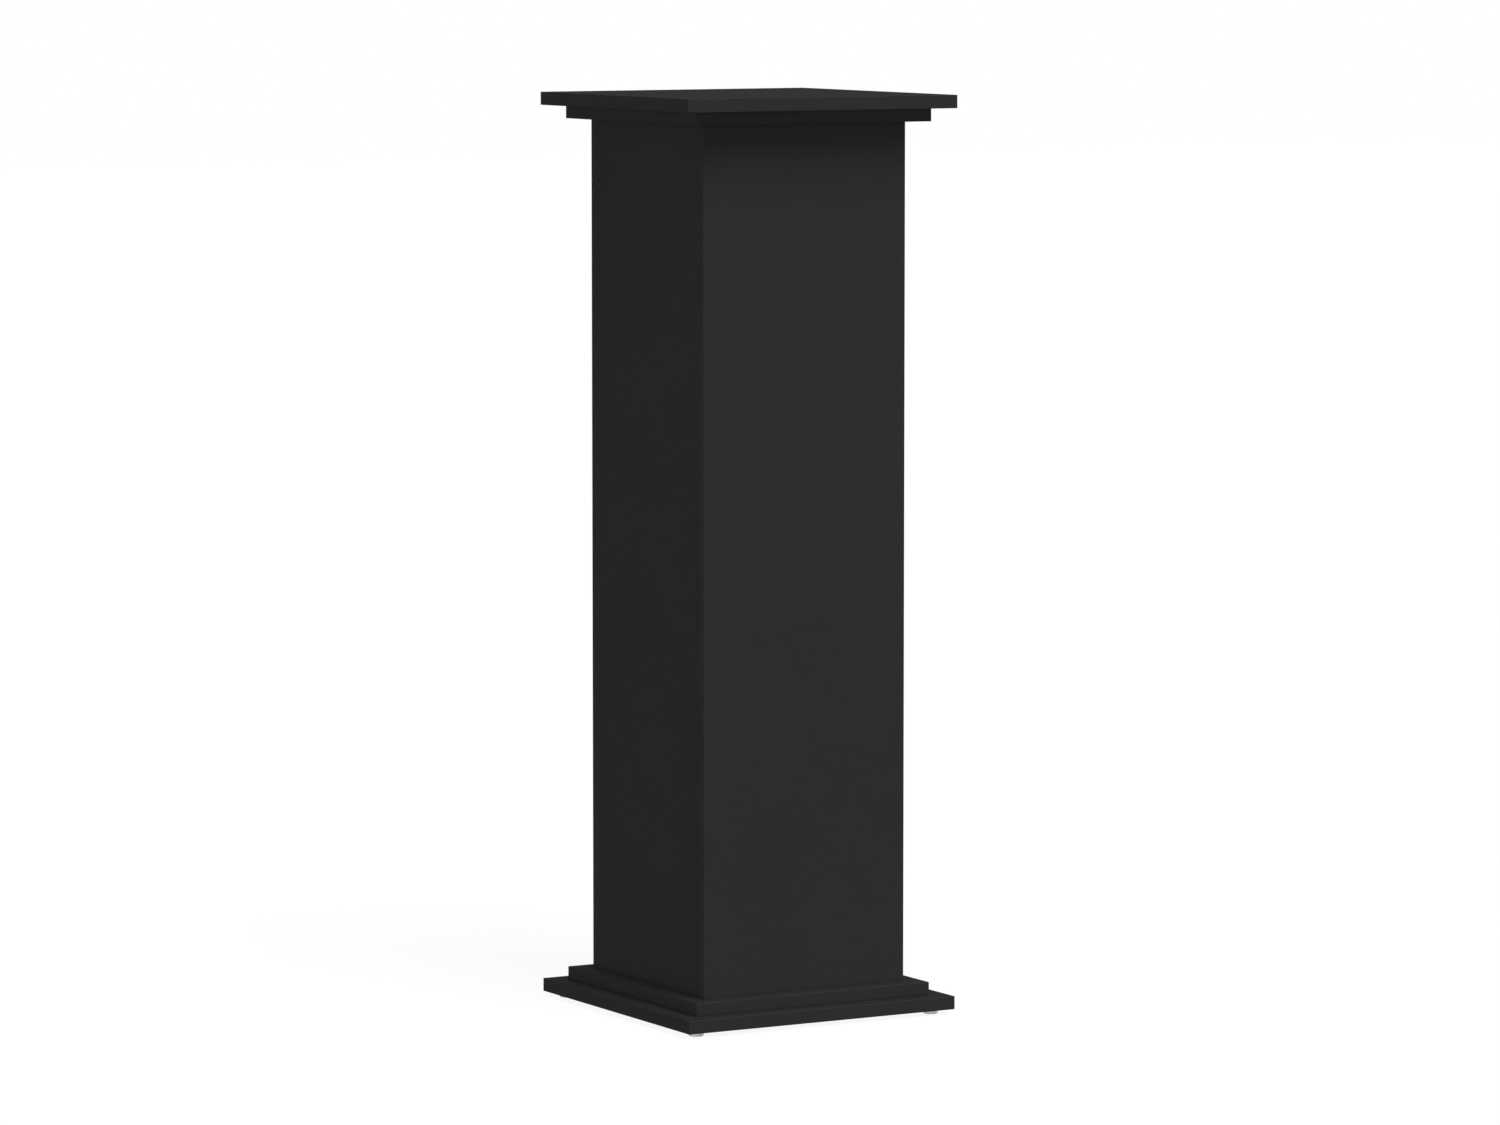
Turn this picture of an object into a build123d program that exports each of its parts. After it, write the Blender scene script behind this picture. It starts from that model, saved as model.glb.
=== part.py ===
from build123d import *
import os

# Display plinth: a hollow square column of 13 mm black melamine-faced chipboard between two
# stepped ends. Millimetres. +Z is up, the front faces -Y, and Z = 0 is the floor under the glides.
#
# Order of assembly, which decides where each fitting can be reached:
#   1. the upper step board is screwed to the top board from beneath, inside the column's outline;
#   2. the left, right and back panels are joined with dowels and cam fittings, then pulled up to
#      the upper step board by cams that are turned through the open front;
#   3. the front panel goes on sideways over dowels, and its cams are turned through the open foot;
#   4. the lower step board is dowelled and screwed to the four panel ends;
#   5. the base board is screwed on from beneath, and the four glides are nailed to it.

# ---------------------------------------------------------------- driving dimensions

board_t = 13.0             # thickness of every board and panel
end_board_w = 300.0        # top board and base board, square
step_board_w = 263.0       # upper and lower step board, square
column_w = 226.0           # outside width of the square column
column_h = 848.0           # length of the four column panels
edging_t = 0.5             # edging strip glued on the visible board edges
edging_arris = 0.3         # chamfer along the strip's long outer edges

glide_h = 5.0              # height of a glide under the base board
glide_d = 15.0             # largest diameter of a glide
glide_inset = 17.5         # glide centre from the two nearest sides of the base board

dowel_d = 6.0              # hole for a fluted beech dowel
dowel_in_face = 9.0        # depth of dowel in a board's face
dowel_in_edge = 21.0       # depth of dowel in a panel's edge
dowel_flutes = 12

cam_d = 15.0               # cam housing
cam_depth = 10.5           # depth of the housing, measured from the panel's inner face
cam_setback = 24.0         # housing centre from the panel's edge
cam_bolt_hole_d = 7.0
cam_thread_d = 5.0
cam_thread_l = 9.0

end_screw_d = 4.0          # long screws, lower step board to panel ends
end_screw_l = 50.0
short_screw_d = 3.5        # short screws, step board to top board and base board to step board
short_screw_l = 20.0
screw_rim = 0.3            # straight rim of a countersunk head
nail_d = 2.0
nail_l = 14.0
nail_head_d = 5.0
nail_head_t = 0.9
nail_head_gap = 0.5        # room round the head, in the glide
nail_seat = 3.0            # thickness of glide between the head and the base board

first_station = 70.0       # height of the lowest fitting above the column's foot
station_pitch = 130.0      # cams and dowels alternate up each corner at this pitch
station_count = 6
end_dowel_offset = 80.0    # dowels in a panel's end, either side of its middle
end_fixing_offset = 45.0   # cams or screws in a panel's end, either side of its middle
short_screw_reach = 75.0   # 3 x 3 pattern of short screws, without its centre

clearance = 0.05           # gap all round between a fitting and its hole
hole_end_gap = 0.5         # a blind hole is this much deeper than its fitting

# ---------------------------------------------------------------- heights and half widths

base_z = glide_h
lower_step_z = base_z + board_t
foot_z = lower_step_z + board_t
head_z = foot_z + column_h
top_z = head_z + board_t
column_half = column_w / 2
inner_half = column_half - board_t
mid_panel = column_half - board_t / 2

cam_stations = [first_station + station_pitch * k for k in range(0, station_count, 2)]
dowel_stations = [first_station + station_pitch * k for k in range(1, station_count, 2)]


# ---------------------------------------------------------------- helpers

def rod(diameter, start, end):
    """Cylinder along local Z from start to end."""
    length = end - start
    low_end = (Align.CENTER, Align.CENTER, Align.MIN)
    return Pos(0, 0, start) * Cylinder(diameter / 2, length, align=low_end)


def turned(points):
    """Solid of revolution about local Z. The points are (radius, z), starting and ending at radius 0."""
    outline = Polyline(*[(radius, 0, z) for radius, z in points], close=True)
    return revolve(make_face(outline), Axis.Z)


def thread_points(root_d, crest_d, start, end, pitch):
    """Outline of a row of thread ridges from start to end."""
    points = []
    ridges = int((end - start) / pitch)
    for k in range(ridges):
        z = start + k * pitch
        points.append((root_d / 2, z))
        points.append((crest_d / 2, z + pitch / 2))
    points.append((root_d / 2, start + ridges * pitch))
    return points


def boxes_meet(shape, other):
    """True where the bounding boxes of two shapes overlap."""
    box = shape.bounding_box()
    other_box = other.bounding_box()
    starts = map(max, box.min, other_box.min)
    ends = map(min, box.max, other_box.max)
    return all(start < end for start, end in zip(starts, ends))


def cut(board, *tool_lists):
    """Board with every tool that reaches it taken out of it."""
    return board - [tool for tools in tool_lists for tool in tools if boxes_meet(board, tool)]


# ---------------------------------------------------------------- places of the fittings
# Each place is a plane on the joint between two pieces.
# Dowels and cam bolts: Z runs into the piece whose edge is drilled, and for a cam X points to the
# inside of the column. Screws: the origin is the middle of the head, and Z is the way they drive.

corner_cams = []
corner_dowels = []
for side in (-1, 1):
    for end in (-1, 1):
        into_side_panel = (0, -end, 0)
        to_inside = (-side, 0, 0)
        for height in cam_stations:
            spot = (side * mid_panel, end * inner_half, foot_z + height)
            corner_cams.append(Plane(spot, x_dir=to_inside, z_dir=into_side_panel))
        for height in dowel_stations:
            spot = (side * mid_panel, end * inner_half, foot_z + height)
            corner_dowels.append(Plane(spot, x_dir=to_inside, z_dir=into_side_panel))


def panel_end_places(outward, offset, z, z_dir):
    """Two places on a panel's end, offset either side of its middle. outward is its outer normal."""
    ox, oy = outward
    places = []
    for sign in (-1, 1):
        spot = (ox * mid_panel - oy * offset * sign, oy * mid_panel + ox * offset * sign, z)
        places.append(Plane(spot, x_dir=(-ox, -oy, 0), z_dir=z_dir))
    return places


left, right, front, back = (-1, 0), (1, 0), (0, -1), (0, 1)

head_cams = []
head_dowels = []
for outward in (left, right, back):
    head_cams += panel_end_places(outward, end_fixing_offset, head_z, (0, 0, -1))
    head_dowels += panel_end_places(outward, end_dowel_offset, head_z, (0, 0, -1))

foot_screws = []
foot_dowels = []
for outward in (left, right, front, back):
    foot_screws += panel_end_places(outward, end_fixing_offset, lower_step_z, (0, 0, 1))
    foot_dowels += panel_end_places(outward, end_dowel_offset, foot_z, (0, 0, 1))


def screw_grid(z):
    """3 x 3 pattern without its centre, driven upwards from height z."""
    reach = (-short_screw_reach, 0, short_screw_reach)
    return [Plane((x, y, z), z_dir=(0, 0, 1)) for x in reach for y in reach if x or y]


top_screws = screw_grid(head_z)
base_screws = screw_grid(base_z)

glide_reach = end_board_w / 2 - glide_inset
glide_places = {
    "front_left": Plane((-glide_reach, -glide_reach, base_z), z_dir=(0, 0, 1)),
    "front_right": Plane((glide_reach, -glide_reach, base_z), z_dir=(0, 0, 1)),
    "back_left": Plane((-glide_reach, glide_reach, base_z), z_dir=(0, 0, 1)),
    "back_right": Plane((glide_reach, glide_reach, base_z), z_dir=(0, 0, 1)),
}

# ---------------------------------------------------------------- fittings


def dowel():
    """Fluted beech dowel with chamfered ends."""
    nose = 1.0
    body_d = dowel_d - 2 * clearance
    flute_d = 0.8
    peg = chamfer(rod(body_d, -dowel_in_face, dowel_in_edge).edges(), nose)
    ring = PolarLocations(body_d / 2, dowel_flutes)
    return peg - [spot * rod(flute_d, -dowel_in_face, dowel_in_edge) for spot in ring]


def dowel_hole():
    return rod(dowel_d, -dowel_in_face - hole_end_gap, dowel_in_edge + hole_end_gap)


neck_d = 4.6
bolt_head_d = 6.6
bolt_head_l = 2.6
bolt_head_far = cam_setback - 0.2              # end of the bolt, just short of the cam's centre
bolt_head_near = bolt_head_far - bolt_head_l
neck_start = cam_setback - cam_d / 2 - 1.0     # just outside the cam
cam_bottom = board_t / 2 - cam_depth           # floor of the housing on the bolt's local X


def cam_bolt():
    """Bolt with a wood thread below Z = 0, and a shank, a neck and a head above it."""
    thread_pitch = 1.5
    tip_l = 1.5
    tip_d = 2.0
    crest_d = cam_thread_d - 2 * clearance
    root_d = 3.6
    shank_d = cam_bolt_hole_d - 4 * clearance
    neck_taper = 0.8
    points = [(0, -cam_thread_l), (tip_d / 2, -cam_thread_l)]
    points += thread_points(root_d, crest_d, tip_l - cam_thread_l, 0, thread_pitch)
    points += [
        (shank_d / 2, 0),
        (shank_d / 2, neck_start - neck_taper),
        (neck_d / 2, neck_start),
        (neck_d / 2, bolt_head_near),
        (bolt_head_d / 2, bolt_head_near + neck_taper / 2),
        (bolt_head_d / 2, bolt_head_far - neck_taper / 2),
        (neck_d / 2, bolt_head_far),
        (0, bolt_head_far),
    ]
    return turned(points)


def cam_hole():
    """Thread hole, bolt hole and housing of one cam fitting."""
    thread_hole = rod(cam_thread_d, -cam_thread_l - hole_end_gap, 0)
    bolt_hole = rod(cam_bolt_hole_d, 0, cam_setback)
    housing = Pos(cam_bottom, 0, cam_setback) * Rot(0, 90, 0) * rod(cam_d, 0, cam_depth)
    return thread_hole + bolt_hole + housing


def cam_lock():
    """Round cam: a slotted wall that holds the bolt's neck, a pocket for its head, a way in, a cross."""
    slot_gap = 0.5             # slot's width over the neck's diameter
    slot_back = 35.0           # the slot starts this far behind the bolt, in degrees
    way_in_turn = 150.0        # from the bolt round to the way in, in degrees
    pocket_d = 9.4
    lid_t = 2.6
    lip = 0.4
    sunk = 0.2                 # the cam's face lies this far under the panel's
    cross_w = 1.5
    cross_l = 7.5
    cross_depth = 2.0
    body = rod(cam_d - 2 * clearance, clearance, cam_depth - sunk)
    body = chamfer(body.edges().sort_by(Axis.Z)[-1], lip)
    pocket = rod(pocket_d, 0, cam_depth - lid_t)
    at_bolt = Pos(0, 0, -cam_bottom)
    from_centre = (Align.NONE, Align.NONE, Align.CENTER)
    slot = Cylinder(cam_d, neck_d + slot_gap, arc_size=slot_back + way_in_turn, align=from_centre)
    slot = at_bolt * Rot(0, 0, -slot_back) * slot
    way_in = at_bolt * Rot(0, 0, way_in_turn) * Rot(0, 90, 0) * rod(cam_bolt_hole_d, 0, cam_d)
    cross_z = cam_depth - cross_depth / 2
    cross = Pos(0, 0, cross_z) * (Box(cross_l, cross_w, cross_depth) + Box(cross_w, cross_l, cross_depth))
    body = body - [pocket, slot, way_in, cross]
    return Pos(cam_bottom, 0, cam_setback) * Rot(0, 90, 0) * body


def screw(diameter, length):
    """Countersunk chipboard screw with a cross recess, driven along +Z with its head flush at Z = 0."""
    crest_d = diameter - 2 * clearance
    root_d = 0.62 * diameter
    head_r = diameter - clearance
    head_l = screw_rim + head_r - root_d / 2     # the head's cone is at 45 degrees
    thread_start = head_l + 1.0
    thread_pitch = 0.5 * diameter
    tip_l = diameter
    recess_l = 0.9 * diameter
    recess_w = 0.28 * diameter
    recess_depth = 0.5 * diameter
    points = [(0, 0), (head_r, 0), (head_r, screw_rim), (root_d / 2, head_l)]
    points += thread_points(root_d, crest_d, thread_start, length - tip_l, thread_pitch)
    points += [(0, length)]
    cross = Box(recess_l, recess_w, recess_depth) + Box(recess_w, recess_l, recess_depth)
    return turned(points) - Pos(0, 0, recess_depth / 2) * cross


def screw_hole(diameter, length):
    """Countersink and hole of one screw: full diameter all the way, so the thread just touches it."""
    sink_r = diameter
    sink_l = screw_rim + sink_r - diameter / 2
    sink = turned([(0, 0), (sink_r, 0), (sink_r, screw_rim), (diameter / 2, sink_l), (0, sink_l)])
    return sink + rod(diameter, 0, length + hole_end_gap)


def glide():
    """Moulded glide under Z = 0, with a dished nail hole."""
    foot_round = 1.6
    upper_chamfer = 0.5
    head_room_d = nail_head_d + 2 * nail_head_gap
    body = rod(glide_d, -glide_h, 0)
    body = fillet(body.edges().sort_by(Axis.Z)[0], foot_round)
    body = chamfer(body.edges().sort_by(Axis.Z)[-1], upper_chamfer)
    return body - rod(nail_d, -glide_h, 0) - rod(head_room_d, -glide_h, -nail_seat)



def glide_nail():
    """Nail that holds a glide, its head sunk in the glide and its point in the base board."""
    point_l = 2.5
    crown_r = 1.7
    rim_t = 0.3
    shank_r = nail_d / 2 - clearance
    return turned([
        (0, -nail_seat - nail_head_t),
        (crown_r, -nail_seat - nail_head_t),
        (nail_head_d / 2, -nail_seat - rim_t),
        (nail_head_d / 2, -nail_seat),
        (shank_r, -nail_seat),
        (shank_r, nail_l - nail_seat - point_l),
        (0, nail_l - nail_seat),
    ])


def nail_hole():
    return rod(nail_d, 0, nail_l - nail_seat + hole_end_gap)


# ---------------------------------------------------------------- boards


def edging_strip(length, width):
    """Strip along X, standing width high in Z, its outer face on Y = 0 and its body behind it."""
    strip = Pos(0, edging_t / 2, 0) * Box(length, edging_t, width)
    outer_face = strip.faces().sort_by(Axis.Y)[0]
    return chamfer(outer_face.edges(), edging_arris)


def square_board(width, z, *tool_lists):
    """Square board without its edging, its underside at height z."""
    blank = Pos(0, 0, z + board_t / 2) * Box(width - 2 * edging_t, width - 2 * edging_t, board_t)
    return cut(blank, *tool_lists)


def square_edging(width, z):
    """Four strips round a square board. The front and back strips cover the ends of the other two."""
    lengths = (width, width - 2 * edging_t, width, width - 2 * edging_t)
    strips = []
    for quarter, length in enumerate(lengths):
        place = Pos(0, 0, z + board_t / 2) * Rot(0, 0, 90 * quarter) * Pos(0, -width / 2, 0)
        strips.append(place * edging_strip(length, board_t))
    return Compound(strips)


def wide_panel(outward_y, *tool_lists):
    """Front or back panel, the column's full width less its edging."""
    blank = Box(column_w - 2 * edging_t, board_t, column_h)
    place = Pos(0, outward_y * mid_panel, foot_z + column_h / 2)
    return cut(place * blank, *tool_lists)


def wide_panel_edging(outward_y):
    """Strips on the two upright edges of the front or back panel."""
    strips = []
    for side in (-1, 1):
        place = Pos(side * column_half, outward_y * mid_panel, foot_z + column_h / 2) * Rot(0, 0, side * 90)
        strips.append(place * Rot(0, 90, 0) * edging_strip(column_h, board_t))
    return Compound(strips)


def side_panel(outward_x, *tool_lists):
    """Left or right panel, between the front and back panels."""
    blank = Box(board_t, 2 * inner_half, column_h)
    place = Pos(outward_x * mid_panel, 0, foot_z + column_h / 2)
    return cut(place * blank, *tool_lists)


def tools_at(places, tool):
    return [place * tool for place in places]


corner_cam_holes = tools_at(corner_cams, cam_hole())
corner_dowel_holes = tools_at(corner_dowels, dowel_hole())
head_cam_holes = tools_at(head_cams, cam_hole())
head_dowel_holes = tools_at(head_dowels, dowel_hole())
foot_dowel_holes = tools_at(foot_dowels, dowel_hole())
foot_screw_holes = tools_at(foot_screws, screw_hole(end_screw_d, end_screw_l))
top_screw_holes = tools_at(top_screws, screw_hole(short_screw_d, short_screw_l))
base_screw_holes = tools_at(base_screws, screw_hole(short_screw_d, short_screw_l))
nail_holes = tools_at(glide_places.values(), nail_hole())

front_holes = (corner_cam_holes, corner_dowel_holes, foot_dowel_holes, foot_screw_holes)
other_holes = front_holes + (head_cam_holes, head_dowel_holes)

pieces = {
    "top_board": square_board(end_board_w, top_z, top_screw_holes),
    "top_board_edging": square_edging(end_board_w, top_z),
    "upper_step_board": square_board(step_board_w, head_z, top_screw_holes, head_cam_holes, head_dowel_holes),
    "upper_step_edging": square_edging(step_board_w, head_z),
    "front_panel": wide_panel(-1, *front_holes),
    "front_panel_edging": wide_panel_edging(-1),
    "back_panel": wide_panel(1, *other_holes),
    "back_panel_edging": wide_panel_edging(1),
    "left_panel": side_panel(-1, *other_holes),
    "right_panel": side_panel(1, *other_holes),
    "lower_step_board": square_board(step_board_w, lower_step_z, foot_dowel_holes, foot_screw_holes,
                                     base_screw_holes),
    "lower_step_edging": square_edging(step_board_w, lower_step_z),
    "base_board": square_board(end_board_w, base_z, base_screw_holes, nail_holes),
    "base_board_edging": square_edging(end_board_w, base_z),
    "glide_nails": Compound(tools_at(glide_places.values(), glide_nail())),
    "column_cam_bolts": Compound(tools_at(corner_cams, cam_bolt())),
    "column_cam_locks": Compound(tools_at(corner_cams, cam_lock())),
    "column_dowels": Compound(tools_at(corner_dowels, dowel())),
    "top_cam_bolts": Compound(tools_at(head_cams, cam_bolt())),
    "top_cam_locks": Compound(tools_at(head_cams, cam_lock())),
    "top_dowels": Compound(tools_at(head_dowels, dowel())),
    "foot_dowels": Compound(tools_at(foot_dowels, dowel())),
    "top_board_screws": Compound(tools_at(top_screws, screw(short_screw_d, short_screw_l))),
    "panel_end_screws": Compound(tools_at(foot_screws, screw(end_screw_d, end_screw_l))),
    "base_board_screws": Compound(tools_at(base_screws, screw(short_screw_d, short_screw_l))),
}
for corner, place in glide_places.items():
    pieces["glide_" + corner] = place * glide()

os.makedirs("parts", exist_ok=True)
for name, piece in pieces.items():
    export_step(piece, os.path.join("parts", name + ".step"))
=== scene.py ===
import math
import bpy
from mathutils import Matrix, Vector


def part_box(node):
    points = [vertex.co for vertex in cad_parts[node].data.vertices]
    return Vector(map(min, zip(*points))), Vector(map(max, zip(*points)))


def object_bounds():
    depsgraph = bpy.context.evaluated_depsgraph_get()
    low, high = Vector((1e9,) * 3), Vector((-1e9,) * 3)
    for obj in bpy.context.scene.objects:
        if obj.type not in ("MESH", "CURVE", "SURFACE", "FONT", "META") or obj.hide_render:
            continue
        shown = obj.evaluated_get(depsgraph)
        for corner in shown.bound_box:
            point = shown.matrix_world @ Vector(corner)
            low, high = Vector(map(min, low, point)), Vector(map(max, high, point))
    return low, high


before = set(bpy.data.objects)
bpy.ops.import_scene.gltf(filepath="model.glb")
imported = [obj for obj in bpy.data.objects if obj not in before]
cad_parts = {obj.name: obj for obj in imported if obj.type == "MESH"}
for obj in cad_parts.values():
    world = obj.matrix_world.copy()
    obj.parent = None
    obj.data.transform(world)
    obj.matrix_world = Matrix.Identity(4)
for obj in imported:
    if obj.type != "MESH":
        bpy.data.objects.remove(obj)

# Display plinth, looks. Metres, in the CAD frame: +Z up, the front panel faces -Y, the floor is Z = 0.
# Every piece is a CAD node that keeps its shape and gets a node material here.

cad_low, cad_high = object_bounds()
centre = (cad_low + cad_high) / 2
floor_z = cad_low.z
scene = bpy.context.scene


# ---------------------------------------------------------------- camera

def make_camera():
    """Long-lens view of the front and left sides, from a little above the top board."""
    azimuth = math.radians(-29.75)     # 0 looks along +Y
    tilt = math.radians(5.659)         # below the horizon
    distance = 6.4795                  # level distance from the plinth's axis
    height = 1.0843                    # above the floor
    sideways = 0.0027                  # to the camera's right
    lens = 158.13
    sensor = 36.0
    data = bpy.data.cameras.new("camera")
    data.lens = lens
    data.sensor_width = sensor
    data.dof.use_dof = False
    data.clip_end = 100.0
    camera = bpy.data.objects.new("camera", data)
    back = Vector((math.sin(azimuth), -math.cos(azimuth), 0))
    right = Vector((math.cos(azimuth), math.sin(azimuth), 0))
    axis_foot = Vector((centre.x, centre.y, floor_z))
    camera.location = axis_foot + back * distance + right * sideways + Vector((0, 0, height))
    camera.rotation_euler = (math.pi / 2 - tilt, 0, azimuth)
    scene.collection.objects.link(camera)
    scene.camera = camera


make_camera()


# ---------------------------------------------------------------- node helpers

def node_material(name, **sockets):
    """New material with one Principled shader, its uniform values set on the shader's own sockets."""
    material = bpy.data.materials.new(name)
    material.use_nodes = True
    tree = material.node_tree
    tree.nodes.clear()
    shader = tree.nodes.new("ShaderNodeBsdfPrincipled")
    output = tree.nodes.new("ShaderNodeOutputMaterial")
    tree.links.new(shader.outputs["BSDF"], output.inputs["Surface"])
    for socket, value in sockets.items():
        shader.inputs[socket.replace("_", " ")].default_value = value
    return material, tree, shader


def add(tree, kind, links=(), **settings):
    """Adds a node. settings are its properties or input sockets; links are (input name, output socket)."""
    node = tree.nodes.new("ShaderNode" + kind)
    for name, value in settings.items():
        if hasattr(node, name):
            setattr(node, name, value)
        else:
            node.inputs[name.replace("_", " ")].default_value = value
    for name, socket in links:
        tree.links.new(socket, node.inputs[name])
    return node


def object_point(tree):
    """Place on the surface in the object's own frame."""
    return tree.nodes.new("ShaderNodeTexCoord").outputs["Object"]


def noise(tree, point, scale, detail=2.0, stretch=(1, 1, 1)):
    """Noise from 0 to 1. scale is in cells per metre, and stretch makes it longer along an axis."""
    squeezed = add(tree, "Mapping", [("Vector", point)])
    squeezed.inputs["Scale"].default_value = tuple(1 / s for s in stretch)
    field = add(tree, "TexNoise", [("Vector", squeezed.outputs["Vector"])], Scale=scale, Detail=detail)
    return field.outputs["Fac"]


def spread(tree, value, low, high, from_low=0.3, from_high=0.7):
    """Maps a noise value to the range low to high."""
    ranged = add(tree, "MapRange", [("Value", value)])
    ranged.inputs["From Min"].default_value = from_low
    ranged.inputs["From Max"].default_value = from_high
    ranged.inputs["To Min"].default_value = low
    ranged.inputs["To Max"].default_value = high
    return ranged.outputs["Result"]


def ramp(tree, value, stops):
    """Colour from a value. stops are (position, (r, g, b))."""
    node = add(tree, "ValToRGB", [("Fac", value)])
    elements = node.color_ramp.elements
    while len(elements) < len(stops):
        elements.new(0.5)
    for element, (position, colour) in zip(elements, stops):
        element.position = position
        element.color = (*colour, 1)
    return node.outputs["Color"]


def bump(tree, height, distance, strength=1.0, normal=None):
    """Normal of a surface raised by height times distance, in metres."""
    links = [("Height", height)]
    if normal:
        links.append(("Normal", normal))
    return add(tree, "Bump", links, Strength=strength, Distance=distance).outputs["Normal"]


def mix_colour(tree, factor, first, second):
    """First colour where factor is 0, second where it is 1."""
    node = add(tree, "Mix", data_type="RGBA")
    for socket, source in ((node.inputs[0], factor), (node.inputs[6], first), (node.inputs[7], second)):
        tree.links.new(source, socket)
    return node.outputs[2]


def mix_value(tree, factor, first, second):
    """First number where factor is 0, second where it is 1."""
    node = add(tree, "Mix", data_type="FLOAT")
    for socket, source in ((node.inputs[0], factor), (node.inputs[2], first), (node.inputs[3], second)):
        tree.links.new(source, socket)
    return node.outputs[0]


def component(tree, vector, axis):
    """X, Y or Z of a vector."""
    return add(tree, "SeparateXYZ", [("Vector", vector)]).outputs[axis]


def within(tree, value, middle, limit):
    """1 where value is nearer to middle than limit, otherwise 0."""
    offset = add(tree, "Math", [(0, value)], operation="SUBTRACT")
    offset.inputs[1].default_value = middle
    size = add(tree, "Math", [(0, offset.outputs[0])], operation="ABSOLUTE")
    test = add(tree, "Math", [(0, size.outputs[0])], operation="LESS_THAN")
    test.inputs[1].default_value = limit
    return test.outputs[0]


def grey(level):
    """Neutral colour."""
    return (level, level, level)


# ---------------------------------------------------------------- materials

AXES = "XYZ"
MELAMINE_LEVEL = 0.0208     # linear reflectance
EDGING_LEVEL = 0.0210       # linear reflectance
BLACK_RIM = 0.0016          # wider than real melamine, to keep chips out of joints in coarse bakes
FACE_NORMAL = 0.9           # a normal with this much along the thin axis is a board's face


def board_material(node, thin_axis):
    """Chipboard with black melamine on the two faces across thin_axis, and raw chips where it is cut."""
    material, tree, shader = node_material("black_melamine_" + node, Specular_IOR_Level=0.40)
    point = object_point(tree)
    axis = AXES.index(thin_axis)
    low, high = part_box(node)
    middle = (low[axis] + high[axis]) / 2
    core_half = (high[axis] - low[axis]) / 2 - BLACK_RIM

    # Chips show on surfaces that run across the board and lie deeper than its black rim.
    normal = tree.nodes.new("ShaderNodeTexCoord").outputs["Normal"]
    is_cut = within(tree, component(tree, normal, thin_axis), 0, FACE_NORMAL)
    is_core = within(tree, component(tree, point, thin_axis), middle, core_half)
    chips_show = add(tree, "Math", [(0, is_cut), (1, is_core)], operation="MULTIPLY").outputs[0]

    # Melamine: a pearl grain pressed into the paper, and faint clouding of tone and gloss.
    clouds = noise(tree, point, 7.0, 3.0)
    grain = noise(tree, point, 750.0, 3.0)
    specks = noise(tree, point, 2400.0, 1.0)
    cloud_tone = ramp(tree, spread(tree, clouds, 0, 1), [
        (0, grey(0.95 * MELAMINE_LEVEL)), (1, grey(1.05 * MELAMINE_LEVEL))])
    speck_tone = ramp(tree, spread(tree, grain, 0, 1), [
        (0, grey(0.82 * MELAMINE_LEVEL)), (1, grey(1.18 * MELAMINE_LEVEL))])
    tone = mix_colour(tree, spread(tree, specks, 0.1, 0.6), cloud_tone, speck_tone)
    gloss = mix_value(tree, clouds, spread(tree, grain, 0.50, 0.64), spread(tree, grain, 0.56, 0.70))

    # Chipboard: flakes of several tans, with dark gaps between them.
    flakes = add(tree, "TexVoronoi", [("Vector", point)], Scale=420.0, Randomness=1.0)
    chip_tone = ramp(tree, flakes.outputs["Color"], [
        (0.0, (0.23, 0.145, 0.075)), (0.45, (0.40, 0.27, 0.15)), (1.0, (0.56, 0.41, 0.25))])
    chip_rough = spread(tree, grain, 0.80, 0.95)

    height = mix_value(tree, chips_show, spread(tree, grain, 0, 1), flakes.outputs["Distance"])
    fine = bump(tree, specks, 0.00003, 0.5)
    relief = bump(tree, height, 0.00015, 0.6, fine)
    tree.links.new(mix_colour(tree, chips_show, tone, chip_tone), shader.inputs["Base Color"])
    tree.links.new(mix_value(tree, chips_show, gloss, chip_rough), shader.inputs["Roughness"])
    tree.links.new(relief, shader.inputs["Normal"])
    return material


def edging_material():
    """Black edging strip, with a finer grain than the board's melamine."""
    material, tree, shader = node_material("black_edging_strip", Specular_IOR_Level=0.40)
    point = object_point(tree)
    clouds = noise(tree, point, 16.0, 3.0)
    grain = noise(tree, point, 1200.0, 2.0)
    cloud_tone = ramp(tree, spread(tree, clouds, 0, 1), [
        (0, grey(0.95 * EDGING_LEVEL)), (1, grey(1.05 * EDGING_LEVEL))])
    grain_tone = ramp(tree, spread(tree, grain, 0, 1), [
        (0, grey(0.88 * EDGING_LEVEL)), (1, grey(1.12 * EDGING_LEVEL))])
    tone = mix_colour(tree, spread(tree, grain, 0.2, 0.6), cloud_tone, grain_tone)
    tree.links.new(tone, shader.inputs["Base Color"])
    tree.links.new(spread(tree, grain, 0.54, 0.64), shader.inputs["Roughness"])
    tree.links.new(bump(tree, grain, 0.00008, 0.5), shader.inputs["Normal"])
    return material


def glide_material():
    """Pale moulded polyethylene, slightly cloudy, with a satin mould texture."""
    material, tree, shader = node_material("pale_polyethylene", Specular_IOR_Level=0.45, IOR=1.51,
                                           Subsurface_Weight=0.25, Subsurface_Scale=0.002)
    shader.inputs["Subsurface Radius"].default_value = (1.0, 0.95, 0.9)
    point = object_point(tree)
    clouds = noise(tree, point, 180.0, 2.0)
    grain = noise(tree, point, 3000.0, 2.0)
    tone = ramp(tree, spread(tree, clouds, 0, 1), [(0, (0.66, 0.67, 0.67)), (1, (0.74, 0.75, 0.74))])
    tree.links.new(tone, shader.inputs["Base Color"])
    tree.links.new(spread(tree, grain, 0.34, 0.46), shader.inputs["Roughness"])
    tree.links.new(bump(tree, grain, 0.00003, 0.4), shader.inputs["Normal"])
    return material


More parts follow.
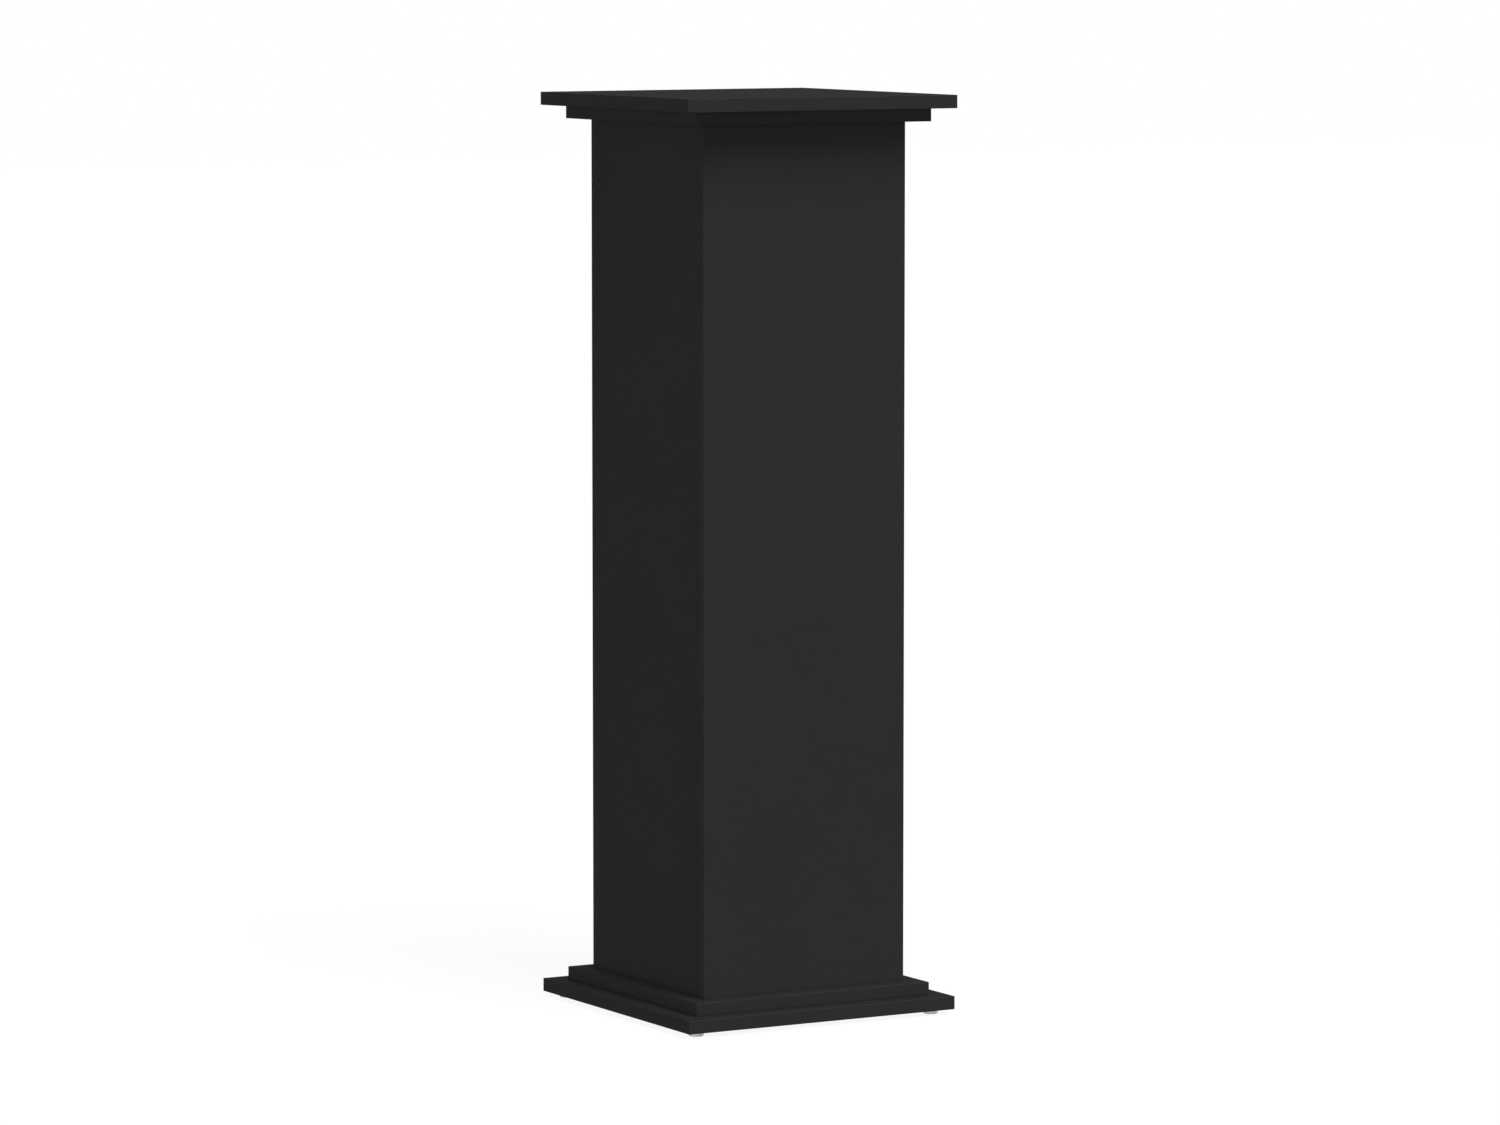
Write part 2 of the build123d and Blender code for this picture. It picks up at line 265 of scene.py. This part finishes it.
def plated_steel_material():
    """Zinc-plated steel: warm and cool passivation tints, finely scratched."""
    material, tree, shader = node_material("plated_steel", Metallic=1.0)
    point = object_point(tree)
    tint = noise(tree, point, 160.0, 3.0)
    scratches = noise(tree, point, 1500.0, 3.0, stretch=(1, 1, 6))
    tone = ramp(tree, spread(tree, tint, 0, 1), [
        (0.0, (0.52, 0.54, 0.56)), (0.55, (0.62, 0.61, 0.57)), (1.0, (0.66, 0.62, 0.52))])
    tree.links.new(tone, shader.inputs["Base Color"])
    tree.links.new(spread(tree, scratches, 0.24, 0.40), shader.inputs["Roughness"])
    tree.links.new(bump(tree, scratches, 0.00002, 0.4), shader.inputs["Normal"])
    return material


def zinc_material():
    """Dull die-cast zinc with a pitted skin."""
    material, tree, shader = node_material("die_cast_zinc", Metallic=1.0)
    point = object_point(tree)
    skin = noise(tree, point, 700.0, 4.0)
    clouds = noise(tree, point, 120.0, 2.0)
    tone = ramp(tree, spread(tree, clouds, 0, 1), [(0, (0.40, 0.40, 0.41)), (1, (0.52, 0.52, 0.51))])
    tree.links.new(tone, shader.inputs["Base Color"])
    tree.links.new(spread(tree, skin, 0.42, 0.60), shader.inputs["Roughness"])
    tree.links.new(bump(tree, skin, 0.00008, 0.5), shader.inputs["Normal"])
    return material


def beech_material(grain_axis):
    """Raw beech with its grain and short dark flecks along grain_axis."""
    material, tree, shader = node_material("beech_" + grain_axis, Specular_IOR_Level=0.35)
    point = object_point(tree)
    long_grain = tuple(14 if axis == grain_axis else 1 for axis in AXES)
    long_fleck = tuple(4 if axis == grain_axis else 1 for axis in AXES)
    grain = noise(tree, point, 900.0, 4.0, long_grain)
    flecks = noise(tree, point, 1600.0, 2.0, long_fleck)
    tone = ramp(tree, spread(tree, grain, 0, 1), [
        (0.0, (0.44, 0.28, 0.16)), (0.5, (0.58, 0.40, 0.25)), (1.0, (0.66, 0.48, 0.32))])
    fleck_tone = ramp(tree, grain, [(0, (0.34, 0.20, 0.11)), (1, (0.42, 0.26, 0.15))])
    is_fleck = spread(tree, flecks, 0, 1, 0.62, 0.70)
    tree.links.new(mix_colour(tree, is_fleck, tone, fleck_tone), shader.inputs["Base Color"])
    tree.links.new(spread(tree, grain, 0.62, 0.75), shader.inputs["Roughness"])
    tree.links.new(bump(tree, grain, 0.00006, 0.5), shader.inputs["Normal"])
    return material


def dress(material, *nodes):
    """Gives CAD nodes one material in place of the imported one."""
    for name in nodes:
        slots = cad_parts[name].data.materials
        slots.clear()
        slots.append(material)


BOARDS = {
    "Z": ("top_board", "upper_step_board", "lower_step_board", "base_board"),
    "Y": ("front_panel", "back_panel"),
    "X": ("left_panel", "right_panel"),
}
for thin_axis, boards in BOARDS.items():
    for board in boards:
        dress(board_material(board, thin_axis), board)
dress(edging_material(), "top_board_edging", "upper_step_edging", "front_panel_edging",
      "back_panel_edging", "lower_step_edging", "base_board_edging")
dress(glide_material(), "glide_front_left", "glide_front_right", "glide_back_left", "glide_back_right")
dress(plated_steel_material(), "glide_nails", "column_cam_bolts", "top_cam_bolts",
      "top_board_screws", "panel_end_screws", "base_board_screws")
dress(zinc_material(), "column_cam_locks", "top_cam_locks")
dress(beech_material("Y"), "column_dowels")
dress(beech_material("Z"), "top_dowels", "foot_dowels")


# ---------------------------------------------------------------- floor, light and background

def make_floor():
    """Plain pale floor, far larger than any view of it, and lit from below as a light table is."""
    reach = 20.0
    glow = 0.92
    signs = ((-1, -1), (1, -1), (1, 1), (-1, 1))
    corners = [(x * reach, y * reach, floor_z) for x, y in signs]
    mesh = bpy.data.meshes.new("floor")
    mesh.from_pydata(corners, [], [(0, 1, 2, 3)])
    floor = bpy.data.objects.new("floor", mesh)
    scene.collection.objects.link(floor)
    material, tree, shader = node_material("pale_floor", Roughness=0.9, Specular_IOR_Level=0.0,
                                           Emission_Strength=glow)
    shader.inputs["Emission Color"].default_value = (1, 1, 1, 1)
    clouds = noise(tree, object_point(tree), 1.5, 2.0)
    tone = ramp(tree, spread(tree, clouds, 0, 1), [(0, grey(0.11)), (1, grey(0.13))])
    tree.links.new(tone, shader.inputs["Base Color"])
    mesh.materials.append(material)
    # The plinth takes no light and no reflection from the floor, as in a picture cut out on white.
    # The level lights, which reach a little below the horizon, pass through the floor.
    floor.visible_diffuse = False
    floor.visible_glossy = False
    floor.visible_shadow = False


def make_sun(name, azimuth, elevation, strength, softness, in_gloss=True):
    """Soft light from far away. azimuth 0 is in front of the plinth, and 90 is on its right.

    A light that isn't in_gloss lights the surfaces but leaves no glare on them.
    """
    data = bpy.data.lights.new(name, "SUN")
    data.energy = strength
    data.angle = math.radians(softness)
    sun = bpy.data.objects.new(name, data)
    turn = math.radians(azimuth)
    rise = math.radians(elevation)
    towards = Vector((math.sin(turn) * math.cos(rise), -math.cos(turn) * math.cos(rise), math.sin(rise)))
    sun.rotation_mode = "QUATERNION"
    sun.rotation_quaternion = towards.to_track_quat("Z", "Y")
    sun.visible_glossy = in_gloss
    scene.collection.objects.link(sun)


def make_world():
    """White background where the camera looks past the floor, and a dim even fill for everything else."""
    fill = 0.090
    world = bpy.data.worlds.new("studio")
    world.use_nodes = True
    tree = world.node_tree
    tree.nodes.clear()
    seen = tree.nodes.new("ShaderNodeBackground")
    seen.inputs["Color"].default_value = (1, 1, 1, 1)
    seen.inputs["Strength"].default_value = 1.0
    dim = tree.nodes.new("ShaderNodeBackground")
    dim.inputs["Color"].default_value = (1, 1, 1, 1)
    dim.inputs["Strength"].default_value = fill
    path = tree.nodes.new("ShaderNodeLightPath")
    mix = tree.nodes.new("ShaderNodeMixShader")
    output = tree.nodes.new("ShaderNodeOutputWorld")
    tree.links.new(path.outputs["Is Camera Ray"], mix.inputs["Fac"])
    tree.links.new(dim.outputs[0], mix.inputs[1])
    tree.links.new(seen.outputs[0], mix.inputs[2])
    tree.links.new(mix.outputs[0], output.inputs["Surface"])
    scene.world = world


make_floor()
make_world()
make_sun("key", azimuth=6, elevation=55, strength=1.83, softness=32)
make_sun("high_fill", azimuth=-8, elevation=72, strength=0.64, softness=40)
LEVEL_FILLS = (
    ("front_fill", 0, 1.30),
    ("left_fill", -90, 1.45),
    ("right_fill", 90, 1.45),
    ("back_fill", 180, 2.60),   # stronger, so that the back and the left face differ at their corner
)
for fill_name, fill_azimuth, fill_strength in LEVEL_FILLS:
    make_sun(fill_name, fill_azimuth, elevation=-1, strength=fill_strength, softness=24, in_gloss=False)
scene.view_settings.view_transform = "Standard"
scene.view_settings.look = "None"
